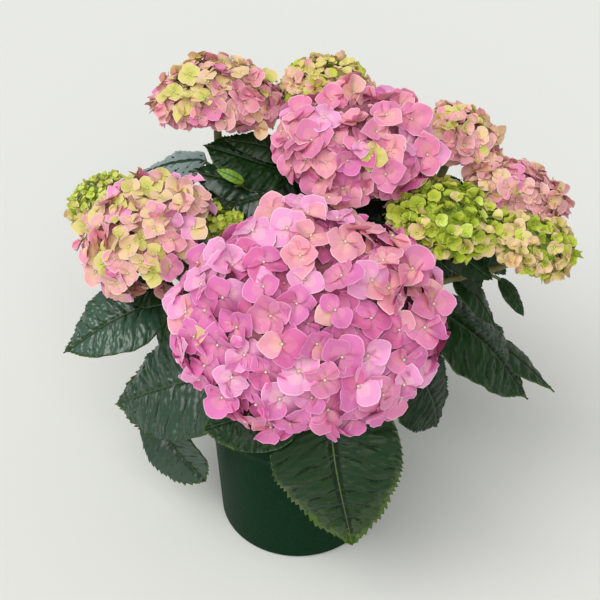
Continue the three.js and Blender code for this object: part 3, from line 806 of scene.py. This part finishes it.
class Blade:
    """The surface of one leaf: quilted between sunken veins, wavy, with a toothed edge."""

    def __init__(self, curve, faces, width, lift, rng, veins, cell, fall=BLADE_FALL,
                 bite=BLADE_BITE):
        self.path = even(curve, BLADE_STEPS)
        self.steps = np.linspace(0, 1, BLADE_STEPS)
        self.length = np.linalg.norm(np.diff(self.path, axis=0), axis=1).sum()
        self.side = unit(np.cross(faces, self.path[-1] - self.path[0]))
        along = unit_rows(np.gradient(self.path, axis=0))
        self.normal = unit_rows(np.cross(along, self.side))
        self.width, self.lift, self.fall = width, lift, fall
        self.veins = (np.arange(veins) + 0.5) / (veins + 0.7)
        self.cell, self.relief, self.bite = cell, 0.034 * width, bite
        self.start = rng.uniform(50, 900)  # where the pattern of its relief begins
        self.ripples = round(self.length / RIPPLE)
        self.jitter = rng.uniform(0.08, 0.92, (CELLS, CELLS, 2))
        self.phase = rng.uniform(0, 2 * math.pi, 4)
        self.tilt = rng.uniform(-0.05, 0.05)

    def chevron(self, s, u):
        """How far along the midrib a point lies: lateral veins sweep towards the tip."""
        return s + 0.6 * self.width / self.length * np.abs(u) * np.sqrt(s) * (1 - s)

    def half(self, t):
        return self.width / 2 * np.maximum(blade_outline(t, self.fall), 0.01)

    def cells(self, x, y):
        """Gap between the two nearest cell centres, and the cell a point is in."""
        gx, gy = x / self.cell + CELLS / 2, y / self.cell + 2
        ix, iy = gx.astype(int), gy.astype(int)
        near, second = np.full(x.shape, 9.0), np.full(x.shape, 9.0)
        which = np.zeros(x.shape, int)
        for di in (-1, 0, 1):
            for dj in (-1, 0, 1):
                cx, cy = ix + di, iy + dj
                spot = self.jitter[cx % CELLS, cy % CELLS]
                away = np.hypot(cx + spot[..., 0] - gx, cy + spot[..., 1] - gy)
                closer = away < near
                second = np.where(closer, near, np.minimum(second, away))
                which = np.where(closer, cx * CELL_STRIDE + cy, which)
                near = np.where(closer, away, near)
        return second - near, which

    def toothed(self, s, u, t, reach, teeth):
        """Moves the outer edge of the blade out into teeth that point to its tip."""
        tooth = (s * teeth) % 1
        outer = np.clip((np.abs(u) - 0.9) / 0.1, 0, 1) * np.clip((1 - s) * 12, 0, 1)
        return (np.clip(t + 0.45 / teeth * tooth * outer, 0, 1),
                reach * (1 + self.bite * (tooth - 0.5) * outer))

    def waves(self, u, t, reach):
        """How the whole blade lifts, droops and waves across its width."""
        au = np.abs(u)
        droop = 0.07 * self.width * au ** 2.2 * blade_outline(t, self.fall)
        offset = self.lift * np.abs(reach) - droop
        swing = np.where(u < 0, self.phase[0], self.phase[1])
        offset += 0.035 * self.width * np.sin(4.4 * math.pi * t + swing) * au ** 2 * (1 - t * 0.5)
        swing = self.phase[2] * np.sign(u)
        offset += 0.012 * self.width * np.sin(13 * math.pi * t + swing) * au ** 3
        return offset + self.tilt * reach

    def quilt(self, s, u, t, reach):
        """Relief between the veins, and the cell of each point: below zero in a hollow, which is
        drawn in the darker green of painted shade.
        """
        gap, which = self.cells(reach, t * self.length)
        puff = np.clip(gap * 1.9, 0, 1) ** 0.55
        lateral = np.min(np.abs(s[..., None] - self.veins), axis=-1) * 2 * len(self.veins)
        ridge = np.sin(math.pi / 2 * np.clip(lateral, 0, 1)) ** 0.8
        wander = 0.35 * np.sin(9 * u + self.phase[3]) + 0.2 * (which % 7) / 7
        ripple = np.abs(np.sin(math.pi * (s * self.ripples + wander))) ** 0.7
        middle = 1 - np.exp(-(np.abs(reach) / (0.03 * self.width)) ** 2)
        height = middle * (0.5 * ridge + 0.26 * ripple + 0.24 * puff)
        hollow = middle * (0.4 * ridge + 0.6 * ripple) < HOLLOW_SHADE
        return self.relief * height, np.where(hollow, -1 - which, which)

    def surface(self, s, u, teeth=0, raise_by=0.0, quilted=True):
        """Points of the blade, s along its midrib and u out to its edges at -1 and 1."""
        t = self.chevron(s, u)
        reach = u * self.half(t)
        if teeth:
            t, reach = self.toothed(s, u, t, reach, teeth)
        offset, which = self.waves(u, t, reach), None
        if quilted:
            height, which = self.quilt(s, u, t, reach)
            offset = offset + height
        offset = offset + raise_by
        up = self.along_path(self.normal, t) * offset[..., None]
        return self.along_path(self.path, t) + self.side * reach[..., None] + up, which

    def greens(self, near, t, edge, slots, rim):
        """Material of each face: blade, hollow in the darker green of painted shade, and the
        yellow-green rim with its fringe.
        """
        kind = np.where((near < 0).sum(1) > 1, slots["shade"], slots["blade"])
        if not rim:
            return kind
        chance = (np.abs(near[:, 0]) * MIX % 1000) / 1000
        ripe = np.clip((t - 0.42) * 2.6, 0.06, 1)
        bright = edge < rim * (0.2 + 0.9 * chance) * ripe
        bright |= t > 1 - 0.012 * rim * (0.3 + chance)
        fringe = edge < rim * (1 + 2.2 * chance) * ripe
        return np.where(bright, slots["rim"], np.where(fringe, slots["between"], kind))

    def add_sheet(self, heap, teeth, half_columns, slots, rim, rows=3):
        """The upper side, with so many rows for each tooth, and a plainer underside."""
        inner = np.linspace(0.03, 0.94, half_columns - 1)
        columns = np.concatenate([-np.array([1.0]), -inner[::-1], [0], inner, [1.0]])
        s, u = np.meshgrid(np.linspace(0, 1, teeth * rows + 1), columns, indexing="ij")
        points, which = self.surface(s, u, teeth)
        quads = grid_quads(*s.shape)
        t = self.chevron(s, u)
        edge = ((1 - np.abs(u)) * self.half(t)).reshape(-1)[quads].mean(1)
        middle = t.reshape(-1)[quads].mean(1)
        kind = self.greens(which.reshape(-1)[quads], middle, edge, slots, rim)
        flat = np.stack([self.start + s * self.length, u * self.half(t)], -1)
        heap.add(points.reshape(-1, 3), quads[:, ::-1], kind, flat.reshape(-1, 2))
        low_s, low_u = np.meshgrid(np.linspace(0, 1, teeth + 1), columns[::2], indexing="ij")
        below, _ = self.surface(low_s, low_u, 0, -LEAF_THICKNESS, quilted=False)
        heap.add(below.reshape(-1, 3), grid_quads(*low_s.shape), slots["under"])

    def along_path(self, values, t):
        """Values known along the midrib, at the places t."""
        return np.stack([np.interp(t, self.steps, values[:, k]) for k in range(3)], -1)

    def add_ribbon(self, heap, s, u, wide, slot, lift=SIDE_VEIN_LIFT):
        """A narrow vein that lies on the surface along s and u."""
        line, _ = self.surface(s, u, 0, lift)
        ahead = unit_rows(np.gradient(line, axis=0), 1e-9)
        up = self.along_path(self.normal, self.chevron(s, u))
        sides = unit_rows(np.cross(up, ahead), 1e-9) * wide[:, None]
        points = np.stack([line - sides - up * VEIN_HALF, line, line + sides - up * VEIN_HALF], 1)
        heap.add(points.reshape(-1, 3), grid_quads(len(line), 3), slot)

    def add_veins(self, heap, slots, fine):
        s = np.linspace(0, 0.97, 40 if fine else 18)
        self.add_ribbon(heap, s, s * 0, np.linspace(0.7, 0.15, len(s)) * self.width / 100 + 0.12,
                        slots["vein"], MIDRIB_LIFT)
        for k in self.veins[1:]:
            for sign in (-1, 1):
                u = np.linspace(0.01, 0.86, 14 if fine else 6) * sign
                wide = np.linspace(0.42, 0.12, len(u)) * (1 if fine else 0.6)
                self.add_ribbon(heap, np.full(len(u), k), u, wide, slots["side_vein"])


def leaf_slots(heap, mats, blade, shade):
    names = dict(blade=blade, shade=shade, rim="rim", between="between", vein="vein_dim",
                 side_vein="side_vein", under="under")
    return {key: heap.slot_of(mats[name]) for key, name in names.items()}


def add_stalk(heap, path, slot, thick=(2.3, 1.5)):
    tube(heap, path, np.linspace(*thick, len(path)), slot, sides=8)


def leaf_middle(base, tip, faces, arch):
    base, tip = np.array(base, float), np.array(tip, float)
    return base + (tip - base) * 0.45 + unit(faces) * arch


FINE_LEAF = 50  # a leaf wider than this many millimetres has more teeth, columns and veins
TEETH, HALF_COLUMNS, SIDE_VEINS = (16, 26), (12, 22), (7, 9)  # of the others, and of these


def make_leaves(mats):
    """The large leaves; returns the heap of their stalks."""
    rng = np.random.default_rng(404)
    heap, stalks = Heap(mapped=True), Heap()
    stalk_slot = stalks.slot_of(mats["stalk"])
    for name, (limb, part, base, tip, faces, width, arch, lift, rim) in LEAVES.items():
        root, _ = at_part(limbs[limb], part)
        curve = catmull([root, base, leaf_middle(base, tip, faces, arch), tip], 120)
        split = int(np.argmin(np.linalg.norm(curve - np.array(base), axis=1)))
        slots = leaf_slots(heap, mats, *LEAF_TONES.get(name, DEFAULT_TONES))
        fine = width > FINE_LEAF
        blade = Blade(curve[split:], faces, width, lift, rng, SIDE_VEINS[fine],
                      5.4 if fine else 0.08 * width + 1, LEAF_FALL.get(name, BLADE_FALL),
                      LEAF_BITE.get(name, BLADE_BITE))
        slots["vein"] = heap.slot_of(mats["vein" if name == "leaf_front" else "vein_dim"])
        blade.add_sheet(heap, TEETH[fine], HALF_COLUMNS[fine], slots, rim,
                        5 if name in LEAF_FALL else 3)
        blade.add_veins(heap, slots, fine)
        add_stalk(stalks, even(curve[:split + 3], 12), stalk_slot)
    heap.build("leaves_large", list(LEAVES), "leaf")
    return stalks


GOLDEN = math.pi * (3 - math.sqrt(5))


def ball_directions(count, lowest, rng, jitter):
    """Evenly spread directions from straight up down to a lowest height."""
    k = np.arange(count) + 0.5
    z = 1 - (1 - lowest) * k / count
    ring = np.sqrt(np.clip(1 - z ** 2, 0, 1))
    turn = k * GOLDEN
    d = np.stack([ring * np.cos(turn), ring * np.sin(turn), z], 1)
    d += rng.normal(0, jitter / math.sqrt(count), d.shape)
    return unit_rows(d)


LOWEST_SPRAY = -0.75  # height of the lowest leaf's direction in a clump
SHORTEST = 18  # millimetres; where less room is left there is no leaf
SHADED_SHARE = 0.4  # of the inner leaves, drawn in the darker greens of painted shade
INNER_TEETH, INNER_COLUMNS, INNER_VEINS = 12, 8, 6


def make_foliage(mats, stalks):
    """Leaves that grow from the limbs out to the outside of each clump of inner foliage."""
    heap = Heap(mapped=True)
    stalk_slot = stalks.slot_of(mats["stalk"])
    for number, name in enumerate(FOLIAGE):
        rng = np.random.default_rng(500 + number)
        solid = tree_of(name)
        low, high = (np.array(c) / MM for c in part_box(name))
        middle = (low + high) / 2
        for d in ball_directions(SPRAY_LEAVES, LOWEST_SPRAY, rng, 0.4):
            hit, _, _, _ = solid.ray_cast(Vector(middle), Vector(d))
            if hit is None:
                continue
            tip = np.array(hit)
            start = nearest(limb_points, middle + d * 8)
            base = start + (tip - start) * rng.uniform(0.2, 0.34) + np.array([0, 0, 5])
            length = np.linalg.norm(tip - base)
            if length < SHORTEST:
                continue
            faces = unit(np.array([0, 0, 1.0]) + 0.5 * d + rng.normal(0, 0.2, 3))
            inner_leaf(heap, stalks, mats, rng, start, base, tip, faces,
                       length * rng.uniform(0.6, 0.74), stalk_slot)
    return heap


def inner_leaf(heap, stalks, mats, rng, start, base, tip, faces, width, stalk_slot, tones=None):
    length = np.linalg.norm(tip - base)
    curve = catmull([base, leaf_middle(base, tip, faces, length * 0.12), tip], 40)
    if not tones:
        tones = ("leaf_shade", "leaf_deep_shade") if rng.uniform() < SHADED_SHARE else DEFAULT_TONES
    slots = leaf_slots(heap, mats, *tones)
    blade = Blade(curve, faces, width, rng.uniform(-0.1, 0.15), rng, INNER_VEINS,
                  0.07 * width + 1)
    blade.add_sheet(heap, INNER_TEETH, INNER_COLUMNS, slots, 0)
    blade.add_veins(heap, slots, False)
    path = even(bezier([start, start + (base - start) * 0.4 + [0, 0, 2],
                        base - unit(curve[1] - curve[0]) * 4, base], 12), 8)
    add_stalk(stalks, path, stalk_slot, (1.6, 1.1))


STALK_RISE = 5  # millimetres that a small leaf's stalk rises at least


def make_small_leaves(heap, stalks, mats):
    """Leaves seen one by one between the heads, each on a stalk from the nearest limb."""
    rng = np.random.default_rng(640)
    stalk_slot = stalks.slot_of(mats["stalk"])
    for base, tip, faces, width, tone in SMALL_LEAVES:
        base, tip = np.array(base, float), np.array(tip, float)
        tones = (tone, "young_shade" if tone == "young_leaf" else "leaf_shade")
        start = nearest(limb_points[limb_points[:, 2] < base[2] - STALK_RISE], base)
        inner_leaf(heap, stalks, mats, rng, start, base, tip, unit(faces), width, stalk_slot,
                   tones)


# ---- pot, soil and stems --------------------------------------------------------------------

def lathe_rings(profile, sides):
    turn = round_turn(sides)
    profile = np.asarray(profile, float)
    return np.stack([profile[:, :1] * np.cos(turn), profile[:, :1] * np.sin(turn),
                     np.repeat(profile[:, 1:], sides, 1)], -1)


def arc(centre, radius, start, end, steps):
    a = np.radians(np.linspace(start, end, steps))
    return np.stack([centre[0] + radius * np.cos(a), centre[1] + radius * np.sin(a)], 1)


POT_HEIGHT, FOOT_RADIUS, BASE_RADIUS, BODY_TOP_RADIUS, RIM_RADIUS = 150, 69.5, 72, 77.6, 81
RIM_BAND, POT_WALL, POT_FLOOR = 16, 2.2, 4
FOOT_ROUND, RIM_ROUND, LIP_ROUND = 3, 1.2, 1
FOOT_RECESS = 1.5  # how high the middle of the underside lies
AXIS = 0.05  # a lathed surface starts this far from its axis
POT_SIDES, SOIL_SIDES = 96, 72


def make_pot(material):
    band = POT_HEIGHT - RIM_BAND
    inside = BODY_TOP_RADIUS - POT_WALL
    top = POT_HEIGHT - RIM_ROUND
    low = BASE_RADIUS - POT_WALL
    wall = [(BASE_RADIUS + (BODY_TOP_RADIUS - BASE_RADIUS) * t, FOOT_ROUND + (band - 4) * t)
            for t in np.linspace(0, 1, 14)[1:]]
    profile = np.concatenate([
        [(AXIS, FOOT_RECESS), (FOOT_RADIUS * 0.86, FOOT_RECESS), (FOOT_RADIUS * 0.9, 0),
         (FOOT_RADIUS - 2, 0)],
        arc((BASE_RADIUS - FOOT_ROUND, FOOT_ROUND), FOOT_ROUND, -90, 0, 8),
        wall, [(BODY_TOP_RADIUS + 0.4, band - 0.5)],
        arc((RIM_RADIUS - LIP_ROUND, band + LIP_ROUND), LIP_ROUND, -90, 0, 5),
        [(RIM_RADIUS, POT_HEIGHT - 5)],
        arc((RIM_RADIUS - RIM_ROUND, top), RIM_ROUND, 0, 90, 6),
        arc((inside + RIM_ROUND, top), RIM_ROUND, 90, 180, 6),
        [(inside, band), (low, POT_FLOOR + 3), (low - 3, POT_FLOOR), (AXIS, POT_FLOOR)],
    ])
    rings = lathe_rings(profile, POT_SIDES)
    heap = Heap()
    quads = grid_quads(len(profile), POT_SIDES, True)
    heap.add(rings.reshape(-1, 3), quads, heap.slot_of(material))
    heap.build("pot_shell", ["pot"], "pot")


SOIL_GAP, SOIL_FOOT = 0.4, 8
CRUMBS, GRIT_SHARE = 420, 0.3


def soil_height(r):
    """Height of the soil at a share of its radius from the middle."""
    return SOIL_LEVEL - SOIL_BACK + SOIL_DOME * (1 - r) ** 0.8


def make_soil(material, grit):
    rng = np.random.default_rng(71)
    heap = Heap()
    slot, grit_slot = heap.slot_of(material), heap.slot_of(grit)
    radius = BODY_TOP_RADIUS - POT_WALL - SOIL_GAP
    top = lathe_rings([(radius * r, soil_height(r)) for r in np.linspace(0.02, 1, 30)],
                      SOIL_SIDES)
    lumps = 1.2 * np.sin(top[..., 0] * 0.21) * np.cos(top[..., 1] * 0.17)
    top[..., 2] += rng.uniform(-1.1, 1.1, top.shape[:2]) + lumps
    foot = lathe_rings([(BASE_RADIUS - POT_WALL - SOIL_GAP, SOIL_FOOT)], SOIL_SIDES)
    surface = np.concatenate([top, foot])
    heap.add(surface.reshape(-1, 3), grid_quads(len(surface), SOIL_SIDES, True)[:, ::-1], slot)
    for _ in range(CRUMBS):
        r, a = radius * math.sqrt(rng.uniform(0.02, 0.97)), rng.uniform(0, 2 * math.pi)
        size = rng.uniform(0.7, 2.4)
        place = np.array([r * math.cos(a), r * math.sin(a), soil_height(r / radius) + size * 0.3])
        turn = frame_of(unit(rng.normal(0, 1, 3)), 0)
        bead(heap, place, turn * rng.uniform(0.5, 1.2, 3), size,
             grit_slot if rng.uniform() < GRIT_SHARE else slot)
    heap.build("soil_surface", ["soil"], "soil")


JOINTS = (0.16, 0.34, 0.52, 0.7, 0.86)  # places of the swollen joints along a limb
JOINT_SWELL, JOINT_WIDTH = 0.2, 0.014  # as shares of the radius and of the limb's length


def make_limbs(material):
    """Canes and shoots with swollen joints and a ridged bark."""
    rng = np.random.default_rng(12)
    for name, path in limbs.items():
        foot, tip = CANE_RADII if name.startswith("cane") else SHOOT_RADII
        fine = even(path, 72)
        t = np.linspace(0, 1, len(fine))
        radii = foot + (tip - foot) * t
        for joint in JOINTS:
            radii = radii * (1 + JOINT_SWELL * np.exp(-((t - joint) / JOINT_WIDTH) ** 2))
        ridges = rng.uniform(0, 2 * math.pi, 3)

        def relief(k, turn, ridges=ridges):
            return (1 + 0.035 * np.cos(6 * turn + ridges[0]) + 0.02 * np.cos(11 * turn + k * 0.7)
                    + 0.015 * np.sin(3 * turn + k * 0.4 + ridges[1]))
        heap = Heap()
        tube(heap, fine, radii, heap.slot_of(material), sides=18, lumps=relief)
        heap.build(f"{name}_bark", [name], "cane")


def make_stump(material):
    heap = Heap()
    z = np.linspace(SOIL_LEVEL - SOIL_BACK, SOIL_LEVEL + STUMP_HEIGHT, 26)
    t = np.linspace(0, 1, len(z))
    waist = 1 - 0.22 * np.sin(math.pi * np.minimum(t * 1.15, 1))
    shoulder = 1 - np.clip(t - 0.86, 0, 1) ** 1.5 * 11

    def knobs(k, turn):
        return (1 + 0.07 * np.cos(5 * turn + 0.4) + 0.05 * np.cos(9 * turn + k * 0.25)
                + 0.03 * np.sin(17 * turn + k * 0.9))
    tube(heap, np.stack([0 * z, 0 * z, z], 1), STUMP_RADIUS * waist * shoulder + 0.1,
         heap.slot_of(material), sides=48, lumps=knobs)
    heap.build("stump_bark", ["stump"], "wood")


# ---- setting --------------------------------------------------------------------------------

CAMERA_AT = (0.002, -0.862, 0.992)
CAMERA_PITCH = 40.7  # degrees below the horizon
FOCAL_PIXELS, FRAME_PIXELS, SENSOR = 1354, 600, 36
FLOOR_HALF, FLOOR_DROP = 6.0, 0.0002
LIGHT_COLOUR = (1.0, 0.995, 0.98)


def make_camera():
    data = bpy.data.cameras.new("camera")
    data.sensor_width = SENSOR
    data.lens = SENSOR * FOCAL_PIXELS / FRAME_PIXELS
    data.clip_start, data.clip_end = 0.01, 20
    camera = new_object("camera", data)
    camera.location = CAMERA_AT
    camera.rotation_euler = (math.radians(90 - CAMERA_PITCH), 0, 0)
    bpy.context.scene.camera = camera


def make_floor():
    mesh = bpy.data.meshes.new("floor")
    corners = [(x * FLOOR_HALF, y * FLOOR_HALF, -FLOOR_DROP)
               for x, y in ((-1, -1), (1, -1), (1, 1), (-1, 1))]
    mesh.from_pydata(corners, [], [(0, 1, 2, 3)])
    mesh.materials.append(new_material("floor_white", (233, 234, 229), 0.9))
    floor = new_object("floor", mesh)


def make_sun(name, towards, strength, width):
    data = bpy.data.lights.new(name, "SUN")
    data.energy, data.angle, data.color = strength, math.radians(width), LIGHT_COLOUR
    lamp = new_object(name, data)
    lamp.rotation_euler = Vector(towards).to_track_quat("Z", "Y").to_euler()


def make_light():
    world = bpy.data.worlds.new("world")
    world.use_nodes = True
    set_inputs(world.node_tree.nodes["Background"], Color=(0.97, 0.985, 1.0, 1), Strength=0.4)
    bpy.context.scene.world = world
    make_sun("studio_key", (-0.48, -0.2, 0.85), 1.24, 42)
    make_sun("studio_fill", (0.0, -0.7, 0.72), 1.22, 48)
    bpy.context.scene.view_settings.view_transform = "Standard"


# Materials of plant and pot: name, screen colour, roughness and, where it isn't 0.5, specular.
PLANT_MATERIALS = {
    "leaf": ("leaf_green", (22, 54, 18), 0.38, 0.3),
    "leaf_shade": ("leaf_shade", (13, 42, 10), 0.42, 0.22),
    # painted shade: the darker green of a blade's hollows
    "leaf_hollow_shade": ("leaf_hollow_shade", (10, 32, 8), 0.4, 0.24),
    # painted sheen: a paler, greyer green for light reflected off the leaves
    "leaf_grey_sheen": ("leaf_grey_sheen", (40, 68, 48), 0.28, 0.7),
    # painted shade: the darkest green, for leaves and hollows deep in shadow
    "leaf_wet_sheen": ("leaf_wet_sheen", (50, 84, 62), 0.24, 0.85),
    # painted sheen: these two paler greens stand for light reflected off glossy leaves
    "leaf_deep_shade": ("leaf_deep_shade", (8, 26, 7), 0.5, 0.22),
    "leaf_sheen": ("leaf_sheen", (142, 164, 160), 0.34, 0.6),
    "leaf_gloss": ("leaf_wet", (24, 54, 28), 0.26, 0.6),
    "rim": ("leaf_rim", (62, 92, 8), 0.42),
    "between": ("leaf_between", (34, 62, 10), 0.4),
    "young_leaf": ("leaf_young", (112, 156, 34), 0.45),
    "young_shade": ("leaf_young_shade", (84, 128, 28), 0.45),
    "vein": ("leaf_vein", (72, 102, 44), 0.5),
    "vein_dim": ("leaf_vein_dim", (58, 86, 40), 0.5),
    "side_vein": ("leaf_side_vein", (36, 66, 26), 0.5),
    "under": ("leaf_under", (84, 110, 66), 0.6),
    "stalk": ("stalk_green", (92, 112, 48), 0.5),
    "cane": ("cane_bark", (96, 108, 58), 0.6),
    "wood": ("stump_bark", (112, 92, 66), 0.85),
    "soil": ("soil_dark", (58, 44, 34), 0.95),
    "grit": ("soil_grit", (104, 82, 60), 0.9),
    "pot": ("pot_plastic", (5, 46, 22), 0.5, 0.06),
    "pedicel": ("pedicel_pale", (128, 138, 72), 0.6),
}
QUILTED = ("leaf", "leaf_shade", "leaf_deep_shade", "leaf_gloss", "leaf_sheen", "leaf_grey_sheen",
           "leaf_wet_sheen", "leaf_hollow_shade", "rim", "between")
# Relief of the others: scale of the noise, strength, and depth in metres.
FAINT = (700, 0.2, 0.0004)
RELIEF = {
    "under": (420, 0.35, 0.0006), "vein": FAINT, "vein_dim": FAINT, "side_vein": FAINT,
    "stalk": FAINT, "young_leaf": FAINT, "young_shade": FAINT, "cane": (160, 0.4, 0.0008),
    "wood": (220, 0.8, 0.0015), "soil": (500, 0.9, 0.002), "grit": (600, 0.6, 0.001),
    "pot": (240, 0.12, 0.0003),
}
MOTTLED = {  # dark and light tone
    "cane": ((96, 76, 48), (112, 126, 66)), "wood": ((70, 54, 38), (136, 112, 82)),
    "soil": ((30, 22, 16), (78, 60, 44)), "pot": ((2, 40, 18), (5, 48, 24)),
}


def plant_materials():
    mats = {key: new_material(*values) for key, values in PLANT_MATERIALS.items()}
    for key in QUILTED:
        add_quilting(mats[key])
    for key, relief in RELIEF.items():
        noise = add_bump(mats[key], *relief)
        if key in MOTTLED:
            add_mottle(mats[key], noise, *MOTTLED[key])
    return mats


def join_heaps(heaps, name, slot_name):
    """One mesh of all heaps, which replaces no CAD node."""
    joined = Heap()
    for heap in heaps:
        slots = np.array([joined.slot_of(m) for m in heap.materials])
        for points, quads, kinds in zip(heap.points, heap.quads, heap.slots):
            joined.points.append(points)
            joined.quads.append(quads + joined.count)
            joined.slots.append(slots[kinds])
        joined.count += heap.count
    joined.build(name, (), slot_name)


make_camera()
make_floor()
make_light()
materials = plant_materials()
petals = petal_materials()
make_pot(materials["pot"])
make_soil(materials["soil"], materials["grit"])
make_limbs(materials["cane"])
make_stump(materials["wood"])
floret_stalks = [make_head(name, petals, materials["pedicel"], 100 + k)
                 for k, name in enumerate(HEADS)]
join_heaps(floret_stalks, "floret_stalks", "cane")
leaf_stalks = make_leaves(materials)
inner_leaves = make_foliage(materials, leaf_stalks)
make_small_leaves(inner_leaves, leaf_stalks, materials)
inner_leaves.build("leaves_inner", list(FOLIAGE), "leaf")
join_heaps([leaf_stalks], "leaf_stalks", "cane")
